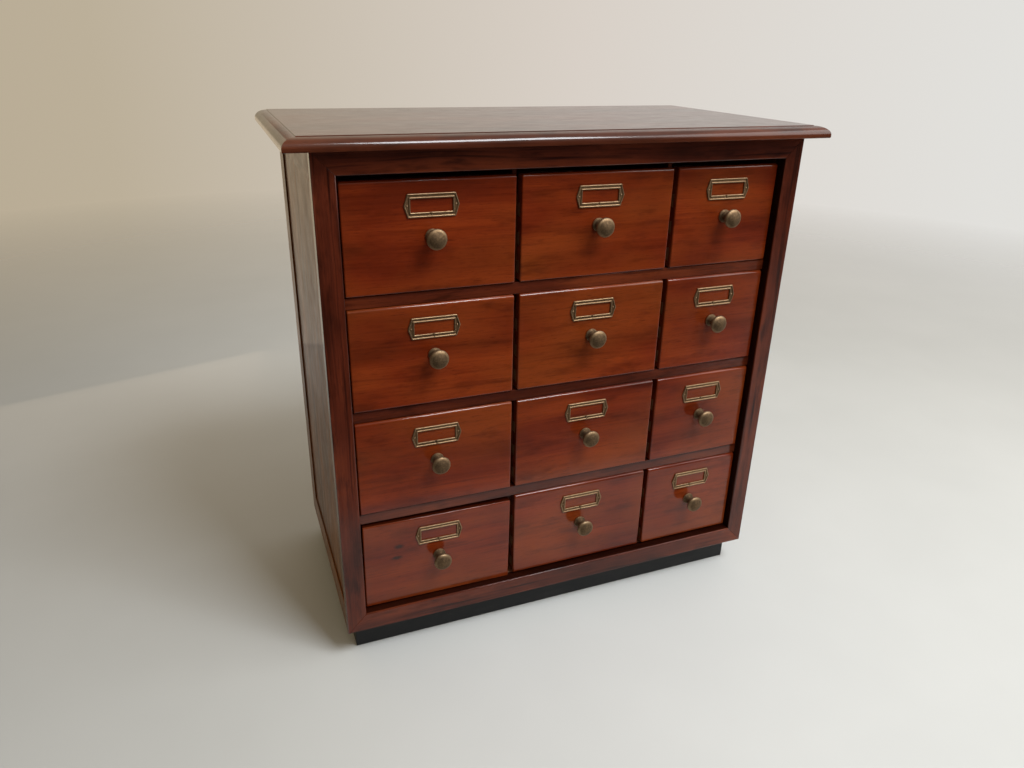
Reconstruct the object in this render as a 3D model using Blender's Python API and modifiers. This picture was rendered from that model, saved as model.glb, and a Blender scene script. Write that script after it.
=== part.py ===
"""Card catalog cabinet: twelve drawers behind a mitred face frame, on a recessed plinth.

Metres, +Z up. The drawers face -Y. The origin is the middle of the whole
cabinet's footprint, on the floor.
"""

import math

import bmesh
import bpy
from mathutils import Vector

# Clearance between glued or touching pieces.
GAP = 0.0003

# Carcass box, without the top's overhang and the plinth.
CARCASS_WIDTH = 0.640
CARCASS_DEPTH = 0.334
CARCASS_HEIGHT = 0.638
WALL = 0.0264
RAIL = 0.0275
FRAME_THICKNESS = 0.018
BACK_THICKNESS = 0.006

# The side's outer face has a shallow panel field between the face frame, a rear stile and two rails.
FIELD_DEPTH = 0.002
FIELD_REAR_STILE = 0.042
FIELD_BOTTOM_RAIL = 0.040
FIELD_TOP_RAIL = 0.035

# Top board: its rounded nose is an ellipse quarter, wider than it is high.
TOP_THICKNESS = 0.015
TOP_FRONT_OVERHANG = 0.0235
TOP_LEFT_OVERHANG = 0.029
TOP_RIGHT_OVERHANG = 0.021
NOSE_WIDTH = 0.016
NOSE_HEIGHT = 0.011
NOSE_STEPS = 6

PLINTH_HEIGHT = 0.045
PLINTH_BOARD = 0.018
PLINTH_FRONT_INSET = 0.0234
PLINTH_SIDE_INSET = 0.013
PLINTH_BACK_INSET = 0.013

# Drawer fronts: three columns and four rows. The third column is narrower.
COLUMN_WIDTHS = (0.2075, 0.2075, 0.1535)
COLUMN_GAP = 0.007
ROWS = 4
FRONT_HEIGHT = 0.1308
FRONT_THICKNESS = 0.016
FRONT_INSET = 0.010
FRONT_ARRIS = 0.0012
ROW_GAP = 0.0162

# Gaps below the fronts: in the lowest row above the bottom board, and in the others above a shelf.
BOTTOM_GAP = 0.0038
SHELF_GAP = 0.001

# One front is cut shorter, hangs lower and leans, as row 4, column 1 does.
LOW_FRONT = (4, 1)
LOW_FRONT_TRIM = 0.0023
LOW_FRONT_DROP = 0.0022
LOW_FRONT_LEAN = math.radians(0.6)

# Shelves and partitions are halved together, the shelves running through in front.
SHELF_THICKNESS = 0.0148
SHELF_RECESS = 0.003
PARTITION_THICKNESS = 0.006
PARTITION_RECESS = 0.017
LAP_SLACK = 0.0003

TRAY_SIDE_PLAY = 0.0006
TRAY_WALL = 0.010
TRAY_HEIGHT = 0.106
TRAY_BOTTOM_LIFT = 0.004
TRAY_BOTTOM = 0.005
TRAY_BACK_PLAY = 0.002

# Knob profile, radius by distance from the drawer front.
KNOB_LENGTH = 0.0262
KNOB_HEAD_RADIUS = 0.0123
KNOB_HEAD_HEIGHT = 0.0188
KNOB_NECK_RADIUS = 0.0052
KNOB_FOOT_RADIUS = 0.0085
KNOB_STEPS = 18
KNOB_DOME_STEPS = 5

LABEL_LENGTH = 0.066
LABEL_BODY_LENGTH = 0.057
LABEL_HEIGHT = 0.0272
LABEL_THICKNESS = 0.002
LABEL_WINDOW = (0.050, 0.0155)
LABEL_BELOW_TOP = 0.0298

# Where the carcass stands in the cabinet's frame.
CARCASS_X = (TOP_LEFT_OVERHANG - TOP_RIGHT_OVERHANG) / 2
FRONT_Y = -(CARCASS_DEPTH - TOP_FRONT_OVERHANG) / 2
BACK_Y = FRONT_Y + CARCASS_DEPTH
LEFT_X = CARCASS_X - CARCASS_WIDTH / 2
RIGHT_X = CARCASS_X + CARCASS_WIDTH / 2
FLOOR_OF_CARCASS = PLINTH_HEIGHT
ROOF_OF_CARCASS = PLINTH_HEIGHT + CARCASS_HEIGHT
BOARD_TOP = FLOOR_OF_CARCASS + RAIL
GRID_BACK_Y = BACK_Y - BACK_THICKNESS - 2 * GAP
INNER_LEFT = LEFT_X + WALL
INNER_RIGHT = RIGHT_X - WALL
SIDE_GAP = (CARCASS_WIDTH - 2 * WALL - sum(COLUMN_WIDTHS) - 2 * COLUMN_GAP) / 2

MATERIALS = {
    "top_wood": ((0.070, 0.022, 0.013), 0.22, 0.0),
    "side_wood": ((0.075, 0.022, 0.012), 0.22, 0.0),
    "frame_wood": ((0.060, 0.016, 0.010), 0.25, 0.0),
    "shelf_wood": ((0.085, 0.024, 0.013), 0.30, 0.0),
    "partition_wood": ((0.050, 0.016, 0.010), 0.40, 0.0),
    "bottom_wood": ((0.060, 0.020, 0.012), 0.40, 0.0),
    "back_plywood": ((0.180, 0.095, 0.045), 0.60, 0.0),
    "plinth_paint": ((0.012, 0.012, 0.013), 0.45, 0.0),
    "front_wood": ((0.170, 0.040, 0.013), 0.24, 0.0),
    "tray_wood": ((0.420, 0.260, 0.130), 0.55, 0.0),
    "knob_brass": ((0.200, 0.150, 0.075), 0.35, 1.0),
    "label_brass": ((0.300, 0.220, 0.110), 0.38, 1.0),
}


def clear_scene():
    for thing in list(bpy.data.objects):
        bpy.data.objects.remove(thing, do_unlink=True)


def new_collection(name, helper=False):
    collection = bpy.data.collections.new(name)
    bpy.context.scene.collection.children.link(collection)
    collection.hide_render = helper
    return collection


def material(name):
    """The Principled material of this name, made at its first use."""
    found = bpy.data.materials.get(name)
    if found:
        return found
    colour, roughness, metallic = MATERIALS[name]
    made = bpy.data.materials.new(name)
    made.use_nodes = True
    shader = made.node_tree.nodes["Principled BSDF"]
    shader.inputs["Base Color"].default_value = (*colour, 1.0)
    shader.inputs["Roughness"].default_value = roughness
    shader.inputs["Metallic"].default_value = metallic
    made.diffuse_color = (*colour, 1.0)
    return made


def add_object(name, mesh, finish, collection):
    made = bpy.data.objects.new(name, mesh)
    if finish:
        mesh.materials.append(material(finish))
    collection.objects.link(made)
    return made


def box_mesh(name, size):
    """A box of this size around its own origin."""
    shape = bmesh.new()
    bmesh.ops.create_cube(shape, size=1.0)
    bmesh.ops.scale(shape, vec=size, verts=shape.verts)
    mesh = bpy.data.meshes.new(name)
    shape.to_mesh(mesh)
    shape.free()
    return mesh


def box(name, low, high, finish, collection):
    """A box between two corners, its origin at its middle."""
    low, high = Vector(low), Vector(high)
    made = add_object(name, box_mesh(name, high - low), finish, collection)
    made.location = (low + high) / 2
    return made


def soften(piece, width, segments=1):
    """Rounds the piece's sharp edges."""
    rounding = piece.modifiers.new("arris", "BEVEL")
    rounding.width = width
    rounding.segments = segments
    rounding.limit_method = "ANGLE"
    rounding.angle_limit = math.radians(40)


def cut(piece, low, high, cutters):
    """Cuts a box out of the piece."""
    number = len(piece.modifiers) + 1
    tool = box(f"{piece.name}_cutter_{number}", low, high, None, cutters)
    tool.hide_render = True
    tool.display_type = "WIRE"
    difference = piece.modifiers.new(f"cut_{number}", "BOOLEAN")
    difference.operation = "DIFFERENCE"
    difference.solver = "EXACT"
    difference.object = tool


def add_plinth(parts, cutters):
    """Base frame of four boards, set back under the carcass."""
    low = Vector((LEFT_X + PLINTH_SIDE_INSET, FRONT_Y + PLINTH_FRONT_INSET, 0))
    high = Vector((RIGHT_X - PLINTH_SIDE_INSET, BACK_Y - PLINTH_BACK_INSET, PLINTH_HEIGHT - GAP))
    plinth = box("plinth", low, high, "plinth_paint", parts)
    board = Vector((PLINTH_BOARD, PLINTH_BOARD, -PLINTH_BOARD))
    cut(plinth, low + board, high - board, cutters)
    soften(plinth, 0.0012)


def add_face_frame(parts, cutters):
    """Mitred frame that covers the front edges of the carcass boards."""
    low = Vector((LEFT_X, FRONT_Y, FLOOR_OF_CARCASS))
    high = Vector((RIGHT_X, FRONT_Y + FRAME_THICKNESS, ROOF_OF_CARCASS))
    frame = box("face_frame", low, high, "frame_wood", parts)
    inside = Vector((WALL, -0.01, RAIL))
    cut(frame, low + inside, high - inside, cutters)
    soften(frame, 0.001)


def add_side(name, outer_x, outward, parts, cutters):
    """Side board with a shallow panel field on its outer face."""
    inner_x = outer_x - outward * (WALL - GAP)
    front, back = FRONT_Y + FRAME_THICKNESS + GAP, BACK_Y
    side = box(
        name,
        (min(inner_x, outer_x), front, FLOOR_OF_CARCASS),
        (max(inner_x, outer_x), back, ROOF_OF_CARCASS),
        "side_wood",
        parts,
    )
    field_x = sorted((outer_x - outward * FIELD_DEPTH, outer_x + outward * 0.01))
    cut(
        side,
        (field_x[0], front - 0.01, FLOOR_OF_CARCASS + FIELD_BOTTOM_RAIL),
        (field_x[1], BACK_Y - FIELD_REAR_STILE, ROOF_OF_CARCASS - FIELD_TOP_RAIL),
        cutters,
    )
    soften(side, 0.0008)


def add_boards(parts):
    """Bottom and back of the carcass, between its sides."""
    left, right = INNER_LEFT + GAP, INNER_RIGHT - GAP
    front = FRONT_Y + FRAME_THICKNESS + GAP
    box(
        "bottom_board",
        (left, front, FLOOR_OF_CARCASS),
        (right, GRID_BACK_Y, BOARD_TOP),
        "bottom_wood",
        parts,
    )
    box(
        "back_panel",
        (left, BACK_Y - BACK_THICKNESS, FLOOR_OF_CARCASS),
        (right, BACK_Y, ROOF_OF_CARCASS - GAP),
        "back_plywood",
        parts,
    )


def add_top(parts):
    """Top board with a rounded nose along its front and both ends."""
    low = Vector((LEFT_X - TOP_LEFT_OVERHANG, FRONT_Y - TOP_FRONT_OVERHANG, 0))
    high = Vector((RIGHT_X + TOP_RIGHT_OVERHANG, BACK_Y, TOP_THICKNESS))
    squeeze = NOSE_HEIGHT / NOSE_WIDTH
    size = high - low
    size.z /= squeeze
    shape = bmesh.new()
    bmesh.ops.create_cube(shape, size=1.0)
    bmesh.ops.scale(shape, vec=size, verts=shape.verts)
    nose = []
    for edge in shape.edges:
        middle = (edge.verts[0].co + edge.verts[1].co) / 2
        if middle.z > 0.001 and middle.y < 0.001 and len({round(v.co.z, 6) for v in edge.verts}) == 1:
            nose.append(edge)
    bmesh.ops.bevel(
        shape,
        geom=nose,
        offset=NOSE_WIDTH,
        offset_type="OFFSET",
        segments=NOSE_STEPS,
        profile=0.5,
        affect="EDGES",
        miter_outer="SHARP",
    )
    bmesh.ops.scale(shape, vec=(1, 1, squeeze), verts=shape.verts)
    mesh = bpy.data.meshes.new("top_board")
    shape.to_mesh(mesh)
    shape.free()
    top = add_object("top_board", mesh, "top_wood", parts)
    top.location = (low + high) / 2
    top.location.z = ROOF_OF_CARCASS + GAP + TOP_THICKNESS / 2


def column_left(column):
    """X of the left edge of the fronts in this column, counted from 1."""
    before = COLUMN_WIDTHS[: column - 1]
    return INNER_LEFT + SIDE_GAP + sum(before) + COLUMN_GAP * len(before)


def row_bottom(row):
    """Z of the bottom edge of the fronts in this row, counted from 1 at the top."""
    below = ROWS - row
    return BOARD_TOP + BOTTOM_GAP + below * (FRONT_HEIGHT + ROW_GAP)


def gap_below(row):
    """Height of the gap between the fronts of this row and the board that their trays run on."""
    return BOTTOM_GAP if row == ROWS else SHELF_GAP


def gap_middle(number):
    """X of the middle of the gap right of this column."""
    return column_left(number) + COLUMN_WIDTHS[number - 1] + COLUMN_GAP / 2


def add_grid(parts, cutters):
    """Three shelves and two partitions, halved into each other like an egg crate."""
    lap_y = (FRONT_Y + GRID_BACK_Y) / 2
    shelf_tops = [row_bottom(row) - gap_below(row) for row in range(1, ROWS)]
    for number, top in enumerate(shelf_tops, 1):
        shelf = box(
            f"shelf_{number}",
            (INNER_LEFT + GAP, FRONT_Y + FRONT_INSET + SHELF_RECESS, top - SHELF_THICKNESS),
            (INNER_RIGHT - GAP, GRID_BACK_Y, top),
            "shelf_wood",
            parts,
        )
        for gap in (1, 2):
            half = PARTITION_THICKNESS / 2 + LAP_SLACK
            cut(
                shelf,
                (gap_middle(gap) - half, lap_y, top - 0.03),
                (gap_middle(gap) + half, GRID_BACK_Y + 0.01, top + 0.03),
                cutters,
            )
    for gap in (1, 2):
        middle = gap_middle(gap)
        partition = box(
            f"partition_{gap}",
            (middle - PARTITION_THICKNESS / 2, FRONT_Y + FRONT_INSET + PARTITION_RECESS, BOARD_TOP + GAP),
            (middle + PARTITION_THICKNESS / 2, GRID_BACK_Y, ROOF_OF_CARCASS - GAP),
            "partition_wood",
            parts,
        )
        for top in shelf_tops:
            cut(
                partition,
                (middle - 0.02, FRONT_Y, top - SHELF_THICKNESS - LAP_SLACK),
                (middle + 0.02, lap_y + LAP_SLACK, top + LAP_SLACK),
                cutters,
            )


def knob_profile():
    """Outline of the knob, (radius, distance from the front), from its tip to its foot."""
    dome = KNOB_LENGTH - KNOB_HEAD_HEIGHT
    points = []
    for step in range(KNOB_DOME_STEPS + 1):
        turn = math.radians(90) * step / KNOB_DOME_STEPS
        points.append((KNOB_HEAD_RADIUS * math.sin(turn), KNOB_HEAD_HEIGHT + dome * math.cos(turn)))
    points += [
        (KNOB_HEAD_RADIUS * 0.90, 0.0162),
        (0.0068, 0.0134),
        (KNOB_NECK_RADIUS, 0.0105),
        (KNOB_NECK_RADIUS, 0.0060),
        (0.0066, 0.0036),
        (KNOB_FOOT_RADIUS, 0.0026),
        (KNOB_FOOT_RADIUS, GAP),
        (0.0, GAP),
    ]
    return points


def knob_mesh():
    """Open profile in the XZ plane, to be turned by a Screw modifier."""
    points = knob_profile()
    mesh = bpy.data.meshes.new("knob_profile")
    edges = [(index, index + 1) for index in range(len(points) - 1)]
    mesh.from_pydata([(radius, 0, height) for radius, height in points], edges, [])
    return mesh


def add_knob(name, mesh, parts):
    """Turned mushroom knob whose axis is local Z."""
    knob = add_object(name, mesh, "knob_brass" if not mesh.materials else None, parts)
    turning = knob.modifiers.new("turning", "SCREW")
    turning.axis = "Z"
    turning.steps = KNOB_STEPS
    turning.render_steps = KNOB_STEPS
    turning.use_merge_vertices = True
    turning.merge_threshold = 0.00001
    return knob


def label_curve():
    """Flat outline of the label frame with its window, as a filled 2D curve."""
    curve = bpy.data.curves.new("label_frame", "CURVE")
    curve.dimensions = "2D"
    curve.fill_mode = "BOTH"
    curve.extrude = (LABEL_THICKNESS - GAP) / 2
    half = Vector((LABEL_BODY_LENGTH, LABEL_HEIGHT)) / 2
    tip = LABEL_LENGTH / 2
    window = Vector(LABEL_WINDOW) / 2
    outline = [
        (-half.x, -half.y), (half.x, -half.y), (tip, 0), (half.x, half.y), (-half.x, half.y), (-tip, 0),
    ]
    hole = [(-window.x, -window.y), (window.x, -window.y), (window.x, window.y), (-window.x, window.y)]
    for points in (outline, hole):
        spline = curve.splines.new("POLY")
        spline.points.add(len(points) - 1)
        spline.use_cyclic_u = True
        for point, (x, y) in zip(spline.points, points):
            point.co = (x, y, 0, 1)
    curve.materials.append(material("label_brass"))
    return curve


def add_drawer(row, column, knob, label, parts, cutters):
    """One drawer: its front with knob and label frame, and the tray behind it."""
    tag = f"{row}_{column}"
    width = COLUMN_WIDTHS[column - 1]
    low = (row, column) == LOW_FRONT
    height = FRONT_HEIGHT - (LOW_FRONT_TRIM if low else 0)
    left, bottom = column_left(column), row_bottom(row)

    face = bpy.data.objects.new(f"drawer_face_{tag}", None)
    face.location = (
        left + width / 2,
        FRONT_Y + FRONT_INSET,
        bottom + height / 2 - (LOW_FRONT_DROP if low else 0),
    )
    face.rotation_euler = (0, LOW_FRONT_LEAN if low else 0, 0)
    parts.objects.link(face)

    front = add_object(
        f"front_{tag}", box_mesh(f"front_{tag}", (width, FRONT_THICKNESS, height)), "front_wood", parts
    )
    front.location = (0, FRONT_THICKNESS / 2, 0)
    soften(front, FRONT_ARRIS, 2)

    turned = add_knob(f"knob_{tag}", knob, parts)
    turned.rotation_euler = (math.radians(90), 0, 0)

    frame = bpy.data.objects.new(f"label_frame_{tag}", label)
    parts.objects.link(frame)
    frame.location = (0, -(LABEL_THICKNESS + GAP) / 2, FRONT_HEIGHT / 2 - LABEL_BELOW_TOP)
    frame.rotation_euler = (math.radians(90), 0, 0)
    for piece in (front, turned, frame):
        piece.parent = face

    add_tray(tag, left, width, bottom - gap_below(row) + GAP, parts, cutters)


def add_tray(tag, left, width, foot, parts, cutters):
    """Sides, back and bottom of a drawer, standing at foot. The front closes its open end."""
    low = Vector((left + TRAY_SIDE_PLAY, FRONT_Y + FRONT_INSET + FRONT_THICKNESS + GAP, foot))
    high = Vector((left + width - TRAY_SIDE_PLAY, GRID_BACK_Y - TRAY_BACK_PLAY, foot + TRAY_HEIGHT))
    tray = box(f"tray_{tag}", low, high, "tray_wood", parts)
    wall = Vector((TRAY_WALL, 0, 0))
    floor = Vector((0, 0, TRAY_BOTTOM_LIFT + TRAY_BOTTOM))
    cut(
        tray,
        low + wall + floor - Vector((0, 0.01, 0)),
        high - wall + Vector((0, -TRAY_WALL, 0.01)),
        cutters,
    )
    cut(
        tray,
        low + wall - Vector((0, 0.01, 0.01)),
        Vector((high.x, high.y, low.z)) - wall + Vector((0, -TRAY_WALL, TRAY_BOTTOM_LIFT)),
        cutters,
    )


def main():
    clear_scene()
    parts = new_collection("card_catalog_cabinet")
    cutters = new_collection("cutters", helper=True)
    add_plinth(parts, cutters)
    add_face_frame(parts, cutters)
    add_side("side_left", LEFT_X, -1, parts, cutters)
    add_side("side_right", RIGHT_X, 1, parts, cutters)
    add_boards(parts)
    add_top(parts)
    add_grid(parts, cutters)
    knob, label = knob_mesh(), label_curve()
    for row in range(1, ROWS + 1):
        for column in range(1, len(COLUMN_WIDTHS) + 1):
            add_drawer(row, column, knob, label, parts, cutters)


main()
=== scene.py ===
"""Card catalog cabinet: detailed pieces and their finishes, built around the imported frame.

Metres, +Z up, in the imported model's own frame. The drawers face -Y. Every piece is placed
from the box of the CAD node that it stands for.
"""

import math
import random

import bmesh
import bpy
import numpy as np
from mathutils import Matrix, Vector


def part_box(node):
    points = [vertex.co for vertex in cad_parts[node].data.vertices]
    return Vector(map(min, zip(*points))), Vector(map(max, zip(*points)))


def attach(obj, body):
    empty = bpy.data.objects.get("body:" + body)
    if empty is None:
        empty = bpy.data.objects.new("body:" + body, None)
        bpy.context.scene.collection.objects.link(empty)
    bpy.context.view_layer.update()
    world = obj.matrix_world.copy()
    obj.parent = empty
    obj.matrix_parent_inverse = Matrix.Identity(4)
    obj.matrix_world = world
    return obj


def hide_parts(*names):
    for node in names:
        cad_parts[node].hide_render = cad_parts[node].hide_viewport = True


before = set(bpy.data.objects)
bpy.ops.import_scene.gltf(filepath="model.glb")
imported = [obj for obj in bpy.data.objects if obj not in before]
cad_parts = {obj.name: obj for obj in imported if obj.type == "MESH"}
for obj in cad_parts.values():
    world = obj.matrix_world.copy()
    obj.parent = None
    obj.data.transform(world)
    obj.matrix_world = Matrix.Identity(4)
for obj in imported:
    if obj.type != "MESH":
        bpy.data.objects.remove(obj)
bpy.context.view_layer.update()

# Clearance between touching pieces.
GAP = 0.0003

ROWS = 4
COLUMNS = 3
LOW_FRONT = (4, 1)
LOW_FRONT_LEAN = math.radians(0.6)

# Carcass details.
TOP_NOSE = (0.016, 0.011)
TOP_QUIRK = 0.0007
TOP_FOOT_ARRIS = 0.0010
FRAME_ARRIS = 0.0015
MITRE_ARRIS = 0.00025
PANEL_ARRIS = 0.0006
STRIP_ARRIS = 0.0007
SHELF_ARRIS = 0.0006

# Painted shade: the frame's opening is painted nearly black, with its varnish reflection mostly taken away,
# behind its arris, fading in over this share of the arris.
RECESS_RUN = 0.3
FIELD_DEPTH = 0.002
FIELD_REAR_STILE = 0.042
FIELD_BOTTOM_RAIL = 0.040
FIELD_TOP_RAIL = 0.035
PLINTH_BOARD = 0.018
BACK_SCREW_EDGE = 0.014
BACK_SCREW_RADIUS = 0.0040
BACK_SINK_DEPTH = 0.0022
BACK_SCREW_DEPTH = 0.0019
GLUE_BLOCK_LEG = 0.020
GLUE_BLOCK_LENGTH = 0.055
GLUE_BLOCK_SHARES = (0.2, 0.5, 0.8)
GLUE_BLOCK_ARRIS = 0.0006

# Drawer details.
FRONT_ARRIS = 0.0018
FRONT_TOP_ARRIS = 0.0036
TRAY_WALL = 0.010
TRAY_BOTTOM = (0.004, 0.009)
TAILS = 3
TAIL_ROOT = 0.0135
TAIL_END = 0.0185
TAIL_DEPTH = 0.010
TAIL_SLACK = 0.00012
TAIL_CUT = 0.003
TRAY_ARRIS = 0.0007
TRAY_BOTTOM_ARRIS = 0.0003

# Two dark knots on the low front, from its middle.
KNOT_PLACES = ((-0.0556, 0.0245, 0.0), (-0.0591, 0.0072, 0.0))
KNOT_RADII = ((0.0066, 0.0034), (0.0072, 0.0030))
KNOT_TONE = (0.018, 0.005, 0.002)

KNOB_FOOT = 0.0085
KNOB_SCREW_DEPTH = 0.0013
WASHER_RADIUS = 0.0065
WASHER_THICKNESS = 0.0012
PIN_RADIUS = 0.00115

# Label frame: widths across its band, and heights as shares of its thickness.
LABEL_BODY = 0.057
LABEL_WINDOW = (0.050, 0.0155)
LABEL_RIM = 0.0019
LABEL_DIRECTIONS = 256
LABEL_PIN_X = 0.0290
LABEL_BRIDGE = 0.0008
LABEL_STEP = 0.0030

# The room: where the floor fades out, and what surrounds it, as the camera sees it and as mirrored.
FLOOR_RADIUS = 6.0
FLOOR_FADE = (1.3, 3.6)
PALE_TONES = [(0.72, (0.69, 0.63, 0.57)), (0.90, (0.76, 0.75, 0.72))]
WALL_TONES = [(0.20, (0.44, 0.36, 0.25)), (0.45, (0.50, 0.43, 0.32))] + PALE_TONES
ROOM_TONES = [(0.05, (0.26, 0.18, 0.08)), (0.42, (0.48, 0.39, 0.25))] + PALE_TONES
ROOM_LIGHT = 0.95
ROOM_DARK = 0.03
FLAG_LOW = (-1.6, -0.500, 0.0)
FLAG_HIGH = (2.2, -0.499, 0.60)

CAMERA_PLACE = (-0.41494, -0.97992, 0.78684)
CAMERA_TURN = (66.9737, -1.0904, -21.2424)
CAMERA_LENS = 26.613
CAMERA_SHIFT = (0.0011167, -0.016935)


# ---------------------------------------------------------------- materials


class Graph:
    """The node tree of a material or the world, with short calls to add nodes and to link them."""

    def __init__(self, owner):
        owner.use_nodes = True
        self.tree = owner.node_tree

    def add(self, kind, inputs=None, **settings):
        """A node of this kind. An input is a number, a tuple or another node's output."""
        node = self.tree.nodes.new("ShaderNode" + kind)
        for name, value in settings.items():
            setattr(node, name, value)
        for name, value in (inputs or {}).items():
            self.give(node.inputs[name], value)
        return node

    def give(self, socket, value):
        if isinstance(value, bpy.types.NodeSocket):
            self.tree.links.new(value, socket)
        else:
            socket.default_value = value

    def scaled(self, vector, scale):
        return self.add("VectorMath", {0: vector, 1: scale}, operation="MULTIPLY").outputs[0]

    def noise(self, vector, scale, detail=2.0, roughness=0.5):
        """Noise from 0 to 1, with its own scale on each axis, in cells a metre."""
        inputs = {"Vector": self.scaled(vector, scale), "Scale": 1.0}
        inputs |= {"Detail": detail, "Roughness": roughness}
        return self.add("TexNoise", inputs).outputs["Fac"]

    def math(self, operation, first, second):
        return self.add("Math", {0: first, 1: second}, operation=operation).outputs[0]

    def spread(self, value, low, high, to_low=0.0, to_high=1.0):
        """The value's range from low to high, stretched to the new range and kept in it."""
        inputs = {"Value": value, "From Min": low, "From Max": high, "To Min": to_low, "To Max": to_high}
        return self.add("MapRange", inputs, clamp=True).outputs["Result"]

    def mix(self, share, first, second):
        """Mixes two colours."""
        node = self.add("Mix", data_type="RGBA")
        self.give(node.inputs["Factor"], share)
        for name, value in (("A", first), ("B", second)):
            socket = [s for s in node.inputs if s.name == name and s.type == "RGBA"][0]
            self.give(socket, (*value, 1.0) if isinstance(value, tuple) else value)
        return [s for s in node.outputs if s.type == "RGBA"][0]

    def ramp(self, value, stops):
        """A colour ramp with (position, colour) stops."""
        node = self.add("ValToRGB", {"Fac": value})
        elements = node.color_ramp.elements
        while len(elements) < len(stops):
            elements.new(0.5)
        for element, (position, colour) in zip(elements, stops):
            element.position = position
            element.color = (*colour, 1.0)
        return node.outputs["Color"]

    def bump(self, height, distance, strength=1.0):
        inputs = {"Height": height, "Distance": distance, "Strength": strength}
        return self.add("Bump", inputs).outputs["Normal"]


class Finish(Graph):
    """A new material, with its shader."""

    def __init__(self, name):
        self.material = bpy.data.materials.new(name)
        super().__init__(self.material)
        self.shader = self.tree.nodes["Principled BSDF"]

    def shade(self, **values):
        for name, value in values.items():
            self.give(self.shader.inputs[name.replace("_", " ")], value)

    def grain(self):
        """Place within the piece's own board, in metres: along the grain, across it, and deep."""
        return self.add("Attribute", attribute_name="grain").outputs["Vector"]


def varnished_wood(name, tones, blotches, streaks, coat, gloss=0.12, ripples=0.00020, amber=0.0):
    """Mahogany under varnish: bands and fibres along the grain, cloudy stain, pores, a rippled coat, and
    painted shade, nearly black with little coat, where a mask asks for it.
    """
    dark, middle, light = tones
    g = Finish(name)
    place = g.grain()
    sway = g.add("TexNoise", {"Vector": g.scaled(place, (3.0, 9.0, 9.0)), "Scale": 1.0, "Detail": 2.0})
    shift = g.add("VectorMath", {0: sway.outputs["Color"], 1: (0.5, 0.5, 0.5)}, operation="SUBTRACT")
    sway_size = g.scaled(shift.outputs[0], (0.0, 0.016, 0.016))
    place = g.add("VectorMath", {0: place, 1: sway_size}, operation="ADD").outputs[0]

    bands = g.noise(place, (1.6, 46.0, 46.0), 3.0, 0.55)
    fibres = g.noise(place, (7.0, 420.0, 420.0), 3.0, 0.6)
    clouds = g.noise(place, (6.5, 15.0, 15.0), 2.0, 0.5)
    lines = g.noise(place, (4.0, 150.0, 150.0), 2.0, 0.6)
    pores = g.spread(g.noise(place, (75.0, 1500.0, 1500.0), 1.0), 0.60, 0.74)

    tone = g.math("ADD", g.math("MULTIPLY", bands, 0.50), g.math("MULTIPLY", fibres, 0.26))
    tone = g.math("ADD", tone, g.math("MULTIPLY", clouds, 0.64))
    colour = g.ramp(g.math("SUBTRACT", tone, 0.20), [(0.30, dark), (0.50, middle), (0.70, light)])
    glow = g.spread(g.noise(place, (5.0, 11.0, 11.0), 2.0), 0.40, 0.66, 0.0, amber)
    colour = g.mix(glow, colour, (1.05 * light[0], 1.55 * light[1], 1.5 * light[2]))
    streak = g.spread(lines, 0.56, 0.72, 0.0, streaks)
    colour = g.mix(streak, colour, tuple(0.30 * value for value in dark))
    stain = g.spread(g.noise(place, (16.0, 62.0, 62.0), 3.0, 0.6), 0.52, 0.72, 0.0, blotches)
    colour = g.mix(stain, colour, tuple(0.28 * value for value in dark))
    colour = g.mix(g.math("MULTIPLY", pores, 0.5), colour, tuple(0.4 * value for value in dark))
    dull = g.noise(place, (30.0, 60.0, 60.0), 3.0, 0.6)
    # Painted shade: where this mask is 1 the colour goes nearly black, and most of the coat, with its
    # reflection, is taken away.
    recess = g.add("Attribute", attribute_name="recess").outputs["Fac"]
    colour = g.mix(g.math("MULTIPLY", recess, 0.85), colour, tuple(0.2 * value for value in dark))
    worn = g.spread(dull, 0.25, 0.75, coat, coat - 0.12)
    varnish = g.math("SUBTRACT", worn, g.math("MULTIPLY", recess, 0.8 * coat))

    ripple = g.noise(place, (26.0, 44.0, 44.0), 1.0)
    g.shade(
        Base_Color=colour,
        Roughness=g.spread(dull, 0.3, 0.7, 0.36, 0.50),
        Specular_IOR_Level=0.05,
        Normal=g.bump(g.math("SUBTRACT", fibres, pores), 0.00010, 0.6),
        Coat_Weight=varnish,
        Coat_Roughness=gloss,
        Coat_IOR=1.43,
        Coat_Normal=g.bump(ripple, ripples, 0.5),
    )
    return g


def add_knots(g, middles, radii, dark):
    """Small dark knots on a wood, at places within the piece's board."""
    place = g.grain()
    colour = g.shader.inputs["Base Color"].links[0].from_socket
    for middle, (along, across) in zip(middles, radii):
        away = g.add("VectorMath", {0: place, 1: tuple(middle)}, operation="SUBTRACT").outputs[0]
        away = g.scaled(away, (1 / along, 1 / across, 0.0))
        distance = g.add("VectorMath", {0: away}, operation="LENGTH").outputs["Value"]
        ragged = g.math("ADD", distance, g.math("MULTIPLY", g.noise(place, (300.0, 700.0, 700.0)), 0.6))
        colour = g.mix(g.spread(ragged, 0.85, 1.6, 0.90, 0.0), colour, dark)
    g.shade(Base_Color=colour)


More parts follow.
